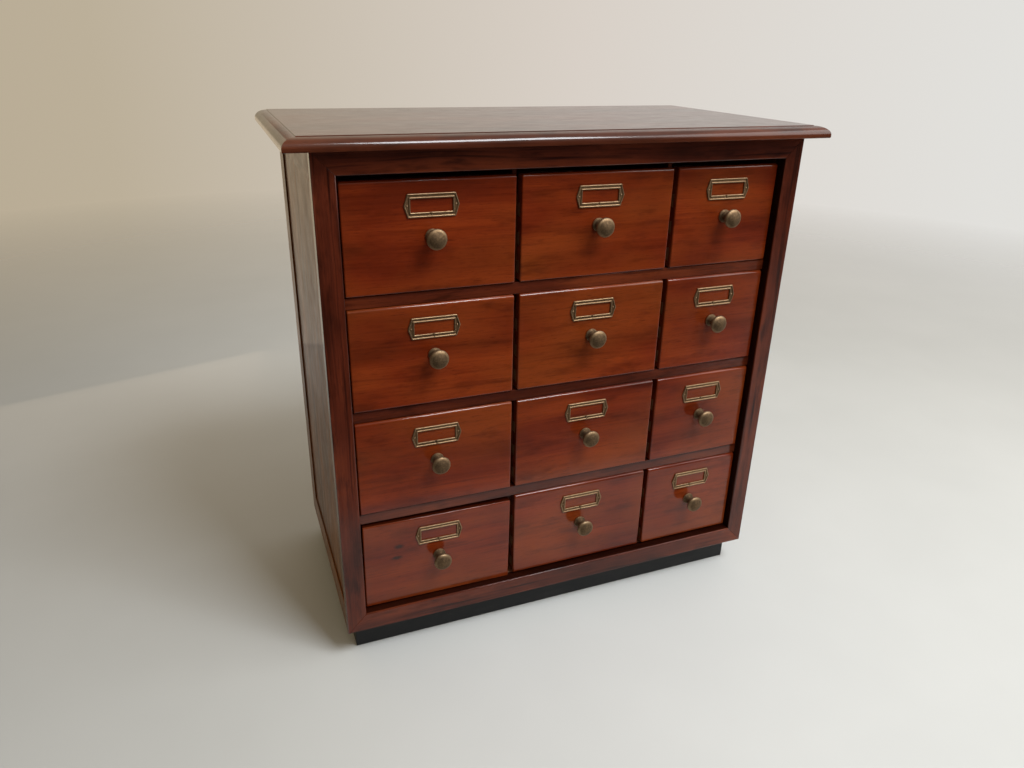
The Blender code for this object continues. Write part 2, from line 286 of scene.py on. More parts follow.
def plain_wood(name, dark, light, roughness=0.62, scale=1.0):
    """Bare wood, for the insides: fine bands, fibres and short pores."""
    g = Finish(name)
    place = g.grain()
    bands = g.noise(place, (1.4 * scale, 60.0 * scale, 60.0 * scale), 4.0, 0.55)
    fibres = g.noise(place, (9.0, 600.0, 600.0), 3.0, 0.6)
    pores = g.spread(g.noise(place, (80.0, 1700.0, 1700.0), 1.0), 0.60, 0.72)
    tone = g.math("ADD", g.math("MULTIPLY", bands, 0.75), g.math("MULTIPLY", fibres, 0.25))
    colour = g.ramp(tone, [(0.32, dark), (0.68, light)])
    colour = g.mix(g.math("MULTIPLY", pores, 0.45), colour, tuple(0.45 * value for value in dark))
    soil = g.spread(g.noise(place, (7.0, 9.0, 9.0), 3.0, 0.6), 0.45, 0.75, 0.0, 0.35)
    colour = g.mix(soil, colour, tuple(0.6 * value for value in dark))
    g.shade(
        Base_Color=colour,
        Roughness=g.spread(fibres, 0.2, 0.8, roughness - 0.08, roughness + 0.08),
        Normal=g.bump(g.math("SUBTRACT", fibres, pores), 0.00015, 0.6),
    )
    return g


def aged_brass(name, bright, worn, patina, roughness):
    """Brass that has browned in its hollows and is rubbed bright on what stands proud."""
    g = Finish(name)
    place = g.grain()
    proud = g.add("Attribute", attribute_name="proud").outputs["Fac"]
    cloud = g.noise(place, (260.0, 260.0, 260.0), 4.0, 0.65)
    speck = g.noise(place, (1500.0, 1500.0, 1500.0), 2.0, 0.6)
    age = g.math("ADD", g.math("MULTIPLY", cloud, 0.75), g.math("MULTIPLY", speck, 0.25))
    rubbed = g.math("SUBTRACT", g.math("ADD", age, g.math("MULTIPLY", proud, 0.42)), 0.20)
    colour = g.ramp(rubbed, [(0.26, patina), (0.46, worn), (0.78, bright)])
    g.shade(
        Base_Color=colour,
        Metallic=1.0,
        Roughness=g.spread(rubbed, 0.25, 0.75, roughness + 0.16, roughness - 0.06),
        Normal=g.bump(age, 0.00006, 0.5),
    )
    return g


def black_paint(name):
    """Satin black paint on wood, with brush marks, dust and scuffs."""
    g = Finish(name)
    place = g.grain()
    brush = g.noise(place, (14.0, 700.0, 700.0), 3.0, 0.6)
    dust = g.spread(g.noise(place, (12.0, 40.0, 40.0), 4.0, 0.65), 0.50, 0.78, 0.0, 0.35)
    scuff = g.spread(g.noise(place, (60.0, 230.0, 230.0), 3.0, 0.7), 0.66, 0.76, 0.0, 0.4)
    colour = g.mix(dust, (0.0085, 0.0085, 0.0090), (0.040, 0.038, 0.036))
    colour = g.mix(scuff, colour, (0.070, 0.060, 0.050))
    g.shade(
        Base_Color=colour,
        Roughness=g.spread(brush, 0.2, 0.8, 0.36, 0.52),
        Specular_IOR_Level=0.25,
        Normal=g.bump(brush, 0.00012, 0.5),
    )
    return g


def steel(name):
    """Zinc plated steel for screws."""
    g = Finish(name)
    place = g.grain()
    cloud = g.noise(place, (420.0, 420.0, 420.0), 4.0, 0.6)
    g.shade(
        Base_Color=g.ramp(cloud, [(0.35, (0.22, 0.21, 0.20)), (0.65, (0.46, 0.45, 0.43))]),
        Metallic=1.0,
        Roughness=g.spread(cloud, 0.3, 0.7, 0.30, 0.48),
        Normal=g.bump(cloud, 0.00004, 0.5),
    )
    return g


def black_net(name):
    """Black net, thin at the floor and closed a hand's breadth above it."""
    g = Finish(name)
    g.shade(Base_Color=(0.012, 0.010, 0.009, 1.0), Roughness=0.9, Specular_IOR_Level=0.1)
    parts = g.add("SeparateXYZ", {0: g.add("TexCoord").outputs["Object"]})
    closed = g.spread(parts.outputs["Z"], 0.0, 0.26, 0.35, 1.0)
    right = g.spread(parts.outputs["X"], 0.30, 0.66, 1.0, 0.10)
    g.shade(Alpha=g.math("MULTIPLY", closed, right))
    return g


def make_finishes():
    """All materials by name."""
    front = ((0.064, 0.0068, 0.0013), (0.115, 0.0133, 0.0023), (0.175, 0.0245, 0.0038))
    frame_tones = ((0.026, 0.0045, 0.0018), (0.072, 0.0124, 0.0046), (0.135, 0.0260, 0.0080))
    shelf = ((0.033, 0.0055, 0.0021), (0.068, 0.0115, 0.0038), (0.115, 0.0220, 0.0062))
    case = ((0.030, 0.0072, 0.0030), (0.060, 0.0140, 0.0055), (0.100, 0.0240, 0.0085))
    # Painted reflection: the sides' tones are brighter and warmer than the top's, standing in for the warm
    # room that the glossy sides mirror.
    side = ((0.075, 0.0230, 0.0050), (0.150, 0.0470, 0.0085), (0.235, 0.0800, 0.0140))
    return {
        "front_wood": varnished_wood("front_wood", front, 0.42, 0.26, 1.0, 0.11, amber=0.55),
        "knotty_wood": varnished_wood("knotty_wood", front, 0.42, 0.26, 1.0, 0.11, amber=0.55),
        "frame_wood": varnished_wood("frame_wood", frame_tones, 0.70, 0.95, 0.82, 0.14),
        "shelf_wood": varnished_wood("shelf_wood", shelf, 0.60, 0.55, 1.0, 0.13),
        "side_wood": varnished_wood("side_wood", side, 0.45, 0.55, 0.38, 0.11, 0.00006),
        "top_wood": varnished_wood("top_wood", case, 0.55, 0.50, 0.95, 0.12, 0.00005),
        "inner_wood": plain_wood("inner_wood", (0.100, 0.034, 0.016), (0.190, 0.075, 0.036), 0.55),
        "tray_wood": plain_wood("tray_wood", (0.120, 0.050, 0.020), (0.230, 0.108, 0.046)),
        "plywood": plain_wood("plywood", (0.150, 0.070, 0.030), (0.260, 0.135, 0.062), 0.66, 0.5),
        "plinth_paint": black_paint("plinth_paint"),
        "knob_brass": aged_brass(
            "knob_brass", (0.285, 0.195, 0.115), (0.200, 0.128, 0.068), (0.125, 0.080, 0.046), 0.56
        ),
        "label_brass": aged_brass(
            "label_brass", (0.330, 0.220, 0.125), (0.265, 0.165, 0.088), (0.185, 0.108, 0.056), 0.50
        ),
        "steel": steel("steel"),
        "flag_net": black_net("flag_net"),
    }


finishes = make_finishes()


# ---------------------------------------------------------------- mesh tools


def add_box(shape, low, high):
    """Adds a box between two corners."""
    low, high = Vector(low), Vector(high)
    made = bmesh.ops.create_cube(shape, size=1.0)["verts"]
    bmesh.ops.scale(shape, vec=high - low, verts=made)
    bmesh.ops.translate(shape, vec=(low + high) / 2, verts=made)


AXES = {"X": Vector((1, 0, 0)), "Y": Vector((0, 1, 0)), "Z": Vector((0, 0, 1))}


def add_prism(shape, outline, axis, low, high):
    """Adds an outline extruded along an axis. Its points are the two other coordinates, in XYZ order."""
    place = {"X": lambda a, b, c: (c, a, b), "Y": lambda a, b, c: (a, c, b), "Z": lambda a, b, c: (a, b, c)}
    ends = [[shape.verts.new(place[axis](a, b, c)) for a, b in outline] for c in (low, high)]
    shape.faces.new(ends[0])
    shape.faces.new(ends[1])
    count = len(outline)
    for i in range(count):
        j = (i + 1) % count
        shape.faces.new((ends[0][i], ends[0][j], ends[1][j], ends[1][i]))
    bmesh.ops.recalc_face_normals(shape, faces=shape.faces)


def round_edges(shape, width, segments=3, axis=None, near=None):
    """Rounds sharp edges: all, only those along one axis, or only those whose middle passes a test."""
    shape.normal_update()
    edges = []
    for edge in shape.edges:
        start, end = (vert.co for vert in edge.verts)
        sharp = len(edge.link_faces) == 2 and edge.calc_face_angle() > math.radians(30)
        aligned = axis is None or abs((end - start).normalized().dot(AXES[axis])) > 0.999
        if sharp and aligned and (near is None or near((start + end) / 2)):
            edges.append(edge)
    rounding = bmesh.ops.bevel(
        shape, geom=edges, offset=width, offset_type="OFFSET", segments=segments, profile=0.5, affect="EDGES"
    )
    for face in rounding["faces"]:
        face.smooth = True


def add_lathe(shape, profile, steps, turn=None):
    """Adds a closed turned form from (radius, height) points. Its axis is -Y, so heights run to the front."""
    rings = []
    for radius, height in profile:
        if radius < 1e-6:
            rings.append([shape.verts.new((0, -height, 0))])
            continue
        angles = [2 * math.pi * i / steps for i in range(steps)]
        rings.append([shape.verts.new((radius * math.cos(a), -height, radius * math.sin(a))) for a in angles])
    for lower, upper in zip(rings, rings[1:]):
        for i in range(steps):
            j = (i + 1) % steps
            around = ((lower, i), (lower, j), (upper, j), (upper, i))
            corners = list(dict.fromkeys(ring[k % len(ring)] for ring, k in around))
            if len(corners) > 2:
                shape.faces.new(corners).smooth = True
    if turn:
        made = [vert for ring in rings for vert in ring]
        bmesh.ops.transform(shape, matrix=turn, verts=made)


def to_object(name, shape, finish, matrix=None, sharp=None):
    """Makes an object from the shape, in this finish, at this place."""
    bmesh.ops.recalc_face_normals(shape, faces=shape.faces)
    mesh = bpy.data.meshes.new(name)
    shape.to_mesh(mesh)
    shape.free()
    if sharp:
        mesh.set_sharp_from_angle(angle=math.radians(sharp))
    mesh.materials.append(finishes[finish].material)
    piece = bpy.data.objects.new(name, mesh)
    bpy.context.scene.collection.objects.link(piece)
    piece.matrix_world = matrix or Matrix.Identity(4)
    return piece


def carve(piece, cutter_shape):
    """Cuts the shape, given in the piece's own space, out of the piece."""
    bmesh.ops.recalc_face_normals(cutter_shape, faces=cutter_shape.faces)
    mesh = bpy.data.meshes.new("cutter")
    cutter_shape.to_mesh(mesh)
    cutter_shape.free()
    cutter = bpy.data.objects.new("cutter", mesh)
    bpy.context.scene.collection.objects.link(cutter)
    cutter.matrix_world = piece.matrix_world
    difference = piece.modifiers.new("carve", "BOOLEAN")
    difference.operation = "DIFFERENCE"
    difference.solver = "EXACT"
    difference.object = cutter
    bpy.context.view_layer.update()
    evaluated = piece.evaluated_get(bpy.context.evaluated_depsgraph_get())
    carved = bpy.data.meshes.new_from_object(evaluated)
    piece.modifiers.clear()
    piece.data = carved
    bpy.data.objects.remove(cutter)


def lay_grain(piece, along, **masks):
    """Stores each point's place in its board, grain first, and masks from 0 to 1 for each point."""
    draw = random.Random(piece.name)
    shift = np.array([draw.uniform(0, 9) for _ in range(3)])
    points = np.empty(len(piece.data.vertices) * 3, np.float32)
    piece.data.vertices.foreach_get("co", points)
    points = points.reshape(-1, 3)
    order = {"X": (0, 2, 1), "Y": (1, 2, 0), "Z": (2, 0, 1)}[along]
    grain = piece.data.attributes.new("grain", "FLOAT_VECTOR", "POINT")
    grain.data.foreach_set("vector", (points[:, order] + shift).astype(np.float32).ravel())
    for name, mask in masks.items():
        values = np.array([mask(Vector(point)) for point in points], np.float32)
        piece.data.attributes.new(name, "FLOAT", "POINT").data.foreach_set("value", values)
    return shift


def place_piece(piece, body, nodes=()):
    """The piece moves with the body and stands for the nodes."""
    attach(piece, body)
    if nodes:
        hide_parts(*nodes)
    return piece


def board(name, low, high, finish, along, slot, body="carcass", nodes=(), arris=0.0008):
    """A board with rounded arrises, its origin at its middle."""
    low, high = Vector(low), Vector(high)
    middle = (low + high) / 2
    shape = bmesh.new()
    add_box(shape, low - middle, high - middle)
    round_edges(shape, arris)
    piece = to_object(name, shape, finish, Matrix.Translation(middle))
    lay_grain(piece, along)
    return place_piece(piece, body, nodes)


# ---------------------------------------------------------------- carcass

frame_low, frame_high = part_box("face_frame")
bottom_low, bottom_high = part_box("bottom_board")
back_low, back_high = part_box("back_panel")
plinth_low, plinth_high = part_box("plinth")
STILE = bottom_low.x - GAP - frame_low.x
RAIL = bottom_high.z - frame_low.z


def add_top():
    """Top board: a flat inside a small quirk, and a nose of an ellipse quarter on three edges."""
    low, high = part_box("top_board")
    nose_width, nose_height = TOP_NOSE
    thickness = high.z - low.z
    profile = [(TOP_FOOT_ARRIS, 0.0), (TOP_FOOT_ARRIS * 0.3, TOP_FOOT_ARRIS * 0.3), (0.0, TOP_FOOT_ARRIS)]
    lower = thickness - nose_height
    for step in range(15):
        turn = math.radians(90) * step / 14
        inset = nose_width * (1 - math.cos(turn))
        height = lower + (nose_height - TOP_QUIRK) * math.sin(turn)
        profile.append((inset, height))
    profile += [
        (nose_width + 0.0003, thickness - TOP_QUIRK),
        (nose_width + 0.0004, thickness - 0.0002),
        (nose_width + 0.0007, thickness),
    ]
    shape = bmesh.new()
    rings = []
    for inset, height in profile:
        z = low.z + height
        left, right, front = low.x + inset, high.x - inset, low.y + inset
        places = ((left, high.y, z), (left, front, z), (right, front, z), (right, high.y, z))
        rings.append([shape.verts.new(place) for place in places])
    for below, above in zip(rings, rings[1:]):
        for i in range(3):
            shape.faces.new((below[i], below[i + 1], above[i + 1], above[i])).smooth = True
    shape.faces.new(rings[0])
    shape.faces.new(rings[-1])
    shape.faces.new([ring[0] for ring in rings] + [ring[3] for ring in reversed(rings)])
    piece = to_object("top_panel", shape, "top_wood", sharp=28)
    lay_grain(piece, "X")
    place_piece(piece, "carcass", ["top_board"])


def mitred_member(name, outline, axis, finish, thickness, along, slot, nodes=(), **masks):
    """A frame member with mitred ends, extruded along an axis. Masks change just behind its arris."""
    shape = bmesh.new()
    add_prism(shape, outline, axis, *thickness)
    round_edges(shape, FRAME_ARRIS, 3, along)
    round_edges(shape, MITRE_ARRIS, 1)
    if masks:
        ring = AXES[axis] * (thickness[0] + (1 + RECESS_RUN) * FRAME_ARRIS)
        geometry = shape.verts[:] + shape.edges[:] + shape.faces[:]
        bmesh.ops.bisect_plane(shape, geom=geometry, plane_co=ring, plane_no=AXES[axis])
    piece = to_object(name, shape, finish)
    lay_grain(piece, along, **masks)
    place_piece(piece, "carcass", nodes)


def mitred_ring(low, high, width, height):
    """Outlines of four mitred members round a rectangle: left, right, low end and high end."""
    (x0, z0), (x1, z1) = low, high
    seam = GAP / 3
    left, right = x0 + width, x1 - width
    below, above = z0 + height, z1 - height
    return {
        "left": [(x0, z0 + seam), (left, below + seam), (left, above - seam), (x0, z1 - seam)],
        "right": [(x1, z0 + seam), (x1, z1 - seam), (right, above - seam), (right, below + seam)],
        "low": [(x0 + seam, z0), (x1 - seam, z0), (right - seam, below), (left + seam, below)],
        "high": [(x0 + seam, z1), (left + seam, above), (right - seam, above), (x1 - seam, z1)],
    }


def frame_recess_shade(point):
    """Painted shade: 1 on the inner faces of the frame's opening, and 0 elsewhere."""
    inside = min(
        point.x - frame_low.x - STILE, frame_high.x - STILE - point.x,
        point.z - frame_low.z - RAIL, frame_high.z - RAIL - point.z,
    )
    start = FRAME_ARRIS if point.z < frame_low.z + RAIL + 0.001 else 0.0
    deep = (point.y - frame_low.y - start) / (RECESS_RUN * FRAME_ARRIS)
    return min(1.0, max(0.0, deep)) if inside > -0.0006 else 0.0


def add_face_frame():
    """Two stiles and two rails, mitred at the corners."""
    outlines = mitred_ring((frame_low.x, frame_low.z), (frame_high.x, frame_high.z), STILE, RAIL)
    names = {
        "left": "frame_stile_left", "right": "frame_stile_right",
        "low": "frame_rail_bottom", "high": "frame_rail_top",
    }
    for key, outline in outlines.items():
        along = "Z" if key in ("left", "right") else "X"
        nodes = ["face_frame"] if key == "left" else ()
        thickness = (frame_low.y, frame_high.y)
        mitred_member(
            names[key], outline, "Y", "frame_wood", thickness, along, "frame_wood", nodes, recess=frame_recess_shade
        )


def add_side(side):
    """Side: a panel board, and on its outer face a rear stile and two rails."""
    low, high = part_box("side_" + side)
    left = side == "left"
    outer, inner = (low.x, high.x) if left else (high.x, low.x)
    inward = 1 if left else -1
    field = outer + inward * FIELD_DEPTH
    stile_front = high.y - FIELD_REAR_STILE

    def strip(name, y_range, z_range, along):
        edges = sorted((outer, field - inward * GAP / 3))
        corners = ((edges[0], y_range[0], z_range[0]), (edges[1], y_range[1], z_range[1]))
        board(name, *corners, "side_wood", along, "case_wood", arris=STRIP_ARRIS)

    panel = sorted((field, inner))
    corners = ((panel[0], low.y, low.z), (panel[1], high.y, high.z))
    nodes = ["side_" + side]
    board("side_panel_" + side, *corners, "side_wood", "Z", "case_wood", nodes=nodes, arris=PANEL_ARRIS)
    strip("side_rear_stile_" + side, (stile_front, high.y), (low.z, high.z), "Z")
    strip("side_bottom_rail_" + side, (low.y, stile_front - GAP / 3), (low.z, low.z + FIELD_BOTTOM_RAIL), "Y")
    strip("side_top_rail_" + side, (low.y, stile_front - GAP / 3), (high.z - FIELD_TOP_RAIL, high.z), "Y")


def add_plinth():
    """Four boards, mitred at the corners, painted black."""
    low, high = (plinth_low.x, plinth_low.y), (plinth_high.x, plinth_high.y)
    outlines = mitred_ring(low, high, PLINTH_BOARD, PLINTH_BOARD)
    names = {"left": "plinth_left", "right": "plinth_right", "low": "plinth_front", "high": "plinth_back"}
    for key, outline in outlines.items():
        along = "Y" if key in ("left", "right") else "X"
        nodes = ["plinth"] if key == "low" else ()
        thickness = (plinth_low.z, plinth_high.z)
        mitred_member(names[key], outline, "Z", "plinth_paint", thickness, along, "plinth_paint", nodes)


def add_glue_blocks():
    """Eight three-cornered blocks that hold the plinth to the bottom board."""
    leg, half, top = GLUE_BLOCK_LEG, GLUE_BLOCK_LENGTH / 2, bottom_low.z - GAP
    x0, x1 = plinth_low.x + PLINTH_BOARD + GAP, plinth_high.x - PLINTH_BOARD - GAP
    y0, y1 = plinth_low.y + PLINTH_BOARD + GAP, plinth_high.y - PLINTH_BOARD - GAP
    middles = [x0 + (x1 - x0) * share for share in GLUE_BLOCK_SHARES]
    blocks = [("X", middle, *wall) for middle in middles for wall in ((y0, 1), (y1, -1))]
    blocks += [("Y", (y0 + y1) / 2, *wall) for wall in ((x0, 1), (x1, -1))]
    for number, (axis, middle, wall, inward) in enumerate(blocks, 1):
        outline = [(wall, top), (wall + inward * leg, top), (wall, top - leg)]
        shape = bmesh.new()
        add_prism(shape, outline, axis, middle - half, middle + half)
        round_edges(shape, GLUE_BLOCK_ARRIS, 2)
        piece = to_object(f"glue_block_{number}", shape, "inner_wood")
        lay_grain(piece, axis)
        place_piece(piece, "carcass")


def screw_shape(head_radius, head_height, slot_width, facing):
    """A slotted screw head, domed, facing along -Y or +Y."""
    profile = [(0.0, 0.0), (head_radius * 0.92, 0.0), (head_radius, head_height * 0.25)]
    for step in range(1, 5):
        turn = math.radians(90) * step / 4
        profile.append((head_radius * math.cos(turn), head_height * (0.25 + 0.75 * math.sin(turn))))
    shape = bmesh.new()
    turn = Matrix.Rotation(math.pi, 4, "Z") if facing > 0 else None
    add_lathe(shape, profile[:-1] + [(0.0, head_height)], 24, turn)
    slot = bmesh.new()
    ends = sorted((facing * head_height * 0.45, facing * head_height * 2))
    reach_x, half = head_radius * 1.5, slot_width / 2
    add_box(slot, (-reach_x, ends[0], -half), (reach_x, ends[1], half))
    return shape, slot


def add_back():
    """Plywood back with ten countersunk screws."""
    corners = (back_low, back_high)
    nodes = ["back_panel"]
    panel = board("back_plywood", *corners, "plywood", "Z", "back_plywood", nodes=nodes, arris=0.0005)
    middle = (back_low + back_high) / 2
    half_x = (back_high.x - back_low.x) / 2 - BACK_SCREW_EDGE
    half_z = (back_high.z - back_low.z) / 2 - BACK_SCREW_EDGE
    levels = ((-1, 1), (-1, 1 / 3), (1, 1 / 3), (1, 1))
    places = [(sx * half_x, sz * half_z * share) for sx in (-1, 1) for sz, share in levels]
    places += [(0.0, half_z), (0.0, -half_z)]
    sinks = bmesh.new()
    depth = (back_high.y - back_low.y) / 2
    for x, z in places:
        radius = BACK_SCREW_RADIUS + 0.0003
        profile = [(0.0, 0.0), (radius * 0.6, 0.0), (radius, BACK_SINK_DEPTH), (radius, 0.005), (0.0, 0.005)]
        move = Matrix.Translation((x, depth - BACK_SINK_DEPTH, z)) @ Matrix.Rotation(math.pi, 4, "Z")
        add_lathe(sinks, profile, 24, move)
    carve(panel, sinks)
    panel.data.attributes.remove(panel.data.attributes["grain"])
    lay_grain(panel, "Z")
    for number, (x, z) in enumerate(places, 1):
        shape, slot = screw_shape(BACK_SCREW_RADIUS, 0.0016, 0.0009, 1)
        draw = random.Random(f"back_screw_{number}")
        turn = Matrix.Rotation(draw.uniform(0, math.pi), 4, "Y")
        place = Matrix.Translation(middle + Vector((x, depth - BACK_SCREW_DEPTH, z))) @ turn
        screw = to_object(f"back_screw_{number}", shape, "steel", place, sharp=40)
        carve(screw, slot)
        lay_grain(screw, "Y")
        place_piece(screw, "carcass")


def add_grid():
    """Three shelves and two partitions, halved into each other like an egg crate."""
    partitions = [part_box(f"partition_{number}") for number in (1, 2)]
    shelves = [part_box(f"shelf_{number}") for number in (1, 2, 3)]
    back = shelves[0][1].y
    lap = (frame_low.y + back) / 2
    for number, (low, high) in enumerate(shelves, 1):
        outline = [(low.x, low.y), (high.x, low.y), (high.x, back)]
        for part_low, part_high in reversed(partitions):
            right, left = part_high.x + GAP, part_low.x - GAP
            outline += [(right, back), (right, lap), (left, lap), (left, back)]
        outline.append((low.x, back))
        shape = bmesh.new()
        add_prism(shape, outline, "Z", low.z, high.z)
        round_edges(shape, SHELF_ARRIS, 3, "X")
        piece = to_object(f"shelf_board_{number}", shape, "shelf_wood")
        lay_grain(piece, "X")
        place_piece(piece, "carcass", [f"shelf_{number}"])
    for number, (low, high) in enumerate(partitions, 1):
        outline = [(low.y, low.z), (back, low.z), (back, high.z), (low.y, high.z)]
        for shelf_low, shelf_high in shelves:
            top, bottom = shelf_high.z + GAP, shelf_low.z - GAP
            outline += [(low.y, top), (lap + GAP, top), (lap + GAP, bottom), (low.y, bottom)]
        shape = bmesh.new()
        add_prism(shape, outline, "X", low.x, high.x)
        round_edges(shape, SHELF_ARRIS, 3, "Z")
        piece = to_object(f"partition_board_{number}", shape, "shelf_wood")
        lay_grain(piece, "Z")
        place_piece(piece, "carcass", [f"partition_{number}"])


def add_carcass():
    add_top()
    add_face_frame()
    add_side("left")
    add_side("right")
    corners = (bottom_low, bottom_high)
    board("bottom_panel", *corners, "inner_wood", "X", "case_wood", nodes=["bottom_board"])
    add_back()
    add_grid()
    add_plinth()
    add_glue_blocks()


# ---------------------------------------------------------------- drawers


def knob_mesh(radius, foot_radius, length):
    """Turned mushroom knob: a stepped foot, a waisted neck, and a broad low dome with a rounded rim."""
    foot = [(0.0, 0.0), (0.97, 0.0), (1.0, 0.0003), (1.0, 0.0014)]
    foot += [(0.95, 0.0020), (0.80, 0.0023), (0.76, 0.0029)]
    profile = [(share * foot_radius, height) for share, height in foot]
    profile += [(0.0064, 0.0036), (0.0058, 0.0048), (0.0053, 0.0066), (0.0051, 0.0088), (0.0053, 0.0108)]
    profile += [(0.0059, 0.0125), (0.0070, 0.0139), (0.0087, 0.0150), (radius - 0.0018, 0.0160)]
    rim = 0.0029
    for step in range(11):
        turn = math.radians(-62 + 120 * step / 10)
        profile.append((radius + rim * (math.cos(turn) - 1), length - 0.0071 + rim * math.sin(turn)))
    start, base = profile[-1]
    for step in range(1, 11):
        share = 1 - step / 10
        profile.append((start * share, base + (length - 0.0010 - base) * (1 - share**2)))
    shape = bmesh.new()
    add_lathe(shape, profile, 64)
    return shape


def knob_proud(point):
    """1 on the knob's rim and on top of its foot, 0 in its neck."""
    radius, height = math.hypot(point.x, point.z), -point.y
    rim = math.exp(-(((height - 0.0203) / 0.0020) ** 2)) * (1.0 if radius > 0.009 else 0.0)
    crown = max(0.0, (height - 0.0215) / 0.005) * 0.20
    foot = 0.7 if height < 0.0020 and radius > 0.007 else 0.0
    return min(1.0, max(rim, crown, foot))


def edge_lines(width, height, tip=None):
    """Half planes (x, z, distance) of a rectangle, or of one whose ends run out to a point."""
    lines = [(0.0, 1.0, height / 2), (0.0, -1.0, height / 2)]
    if tip is None:
        return lines + [(1.0, 0.0, width / 2), (-1.0, 0.0, width / 2)]
    run, rise = tip - width / 2, height / 2
    size = math.hypot(run, rise)
    across, up, away = rise / size, run / size, tip * rise / size
    return lines + [(sx * across, sz * up, away) for sx in (-1, 1) for sz in (-1, 1)]


def reach(lines, grow, x, z):
    """Distance from the middle to the outline, grown outwards, in this direction."""
    facing = [(x * nx + z * nz, distance) for nx, nz, distance in lines]
    return min((distance + grow) / slope for slope, distance in facing if slope > 1e-9)


def label_profile(thickness):
    """Section of the label frame's band from window to outer edge: (is outer, growth, height)."""
    rim, high = LABEL_RIM, thickness
    channel = 0.42 * high
    inner = [(0.0, 0.0), (0.0, 0.62), (0.12, 0.84), (0.38, 0.96), (0.68, 0.94), (0.92, 0.78)]
    band = [(False, rim * share, high * level) for share, level in inner]
    band += [(False, rim * 1.06, channel), (True, -rim * 1.06, channel)]
    outer = [(0.92, 0.80), (0.68, 0.98), (0.38, 1.0), (0.12, 0.84), (0.0, 0.60), (0.0, 0.0)]
    band += [(True, -rim * share, high * level) for share, level in outer]
    return band


def label_mesh(length, height, thickness):
    """Pressed brass label frame: two rims with a channel between, pointed ends, a small bridge below."""
    window = edge_lines(*LABEL_WINDOW)
    outline = edge_lines(LABEL_BODY, height, length / 2)
    band = label_profile(thickness)
    shape = bmesh.new()
    rings = []
    for outer, grow, level in band:
        ring = []
        for i in range(LABEL_DIRECTIONS):
            angle = 2 * math.pi * (i + 0.5) / LABEL_DIRECTIONS
            x, z = math.cos(angle), math.sin(angle)
            distance = reach(outline if outer else window, grow, x, z)
            x, z = distance * x, distance * z
            raised = level
            if z < 0 and abs(x) < LABEL_BRIDGE and 0 < level < thickness * 0.7:
                raised = thickness * 0.80
            if z < 0 and -LABEL_STEP < x < -LABEL_BRIDGE and not outer and level > 0:
                raised = level * 0.45
            ring.append(shape.verts.new((x, -raised, z)))
        rings.append(ring)
    count = len(rings)
    for number in range(count):
        here, there = rings[number], rings[(number + 1) % count]
        for i in range(LABEL_DIRECTIONS):
            j = (i + 1) % LABEL_DIRECTIONS
            shape.faces.new((here[i], here[j], there[j], there[i])).smooth = True
    return shape


def pins_mesh(thickness):
    """The two round pin heads at the label frame's ends."""
    shape = bmesh.new()
    profile = [(0.0, 0.0), (PIN_RADIUS, 0.0), (PIN_RADIUS, 0.42 * thickness)]
    for step in range(1, 4):
        turn = math.radians(90) * step / 4
        profile.append((PIN_RADIUS * math.cos(turn), thickness * (0.42 + 0.40 * math.sin(turn))))
    profile.append((0.0, 0.82 * thickness))
    for side in (-1, 1):
        add_lathe(shape, profile, 16, Matrix.Translation((side * LABEL_PIN_X, 0, 0)))
    return shape


def washer_mesh():
    """Steel washer with softened edges, facing along +Y."""
    radius, edge = WASHER_RADIUS, 0.0003
    profile = [(0.0, 0.0), (radius - edge, 0.0), (radius, edge), (radius, WASHER_THICKNESS - edge)]
    profile += [(radius - edge, WASHER_THICKNESS), (0.0, WASHER_THICKNESS)]
    shape = bmesh.new()
    add_lathe(shape, profile, 32, Matrix.Rotation(math.pi, 4, "Z"))
    return shape


def tail_outlines(foot, height, root, end, slack=0.0):
    """Dovetails in the YZ plane, from their root's Y to their end's Y."""
    outlines = []
    for number in range(TAILS):
        middle = foot + height * (number + 0.5) / TAILS
        narrow, wide = TAIL_ROOT / 2 + slack, TAIL_END / 2 + slack
        corners = [(root, middle - narrow), (root, middle + narrow)]
        outlines.append(corners + [(end, middle + wide), (end, middle - wide)])
    return outlines


def tray_side_outline(low, high, foot, height):
    """A drawer side in the YZ plane, with dovetails at its front and back ends."""
    root = high.y - TRAY_WALL
    outline = [(low.y, foot), (root, foot)]
    for tail in tail_outlines(foot, height, root, high.y):
        outline += [tail[0], tail[3], tail[2], tail[1]]
    outline += [(root, foot + height), (low.y, foot + height)]
    for tail in reversed(tail_outlines(foot, height, low.y, low.y - GAP - TAIL_DEPTH)):
        outline += [tail[1], tail[2], tail[3], tail[0]]
    return outline


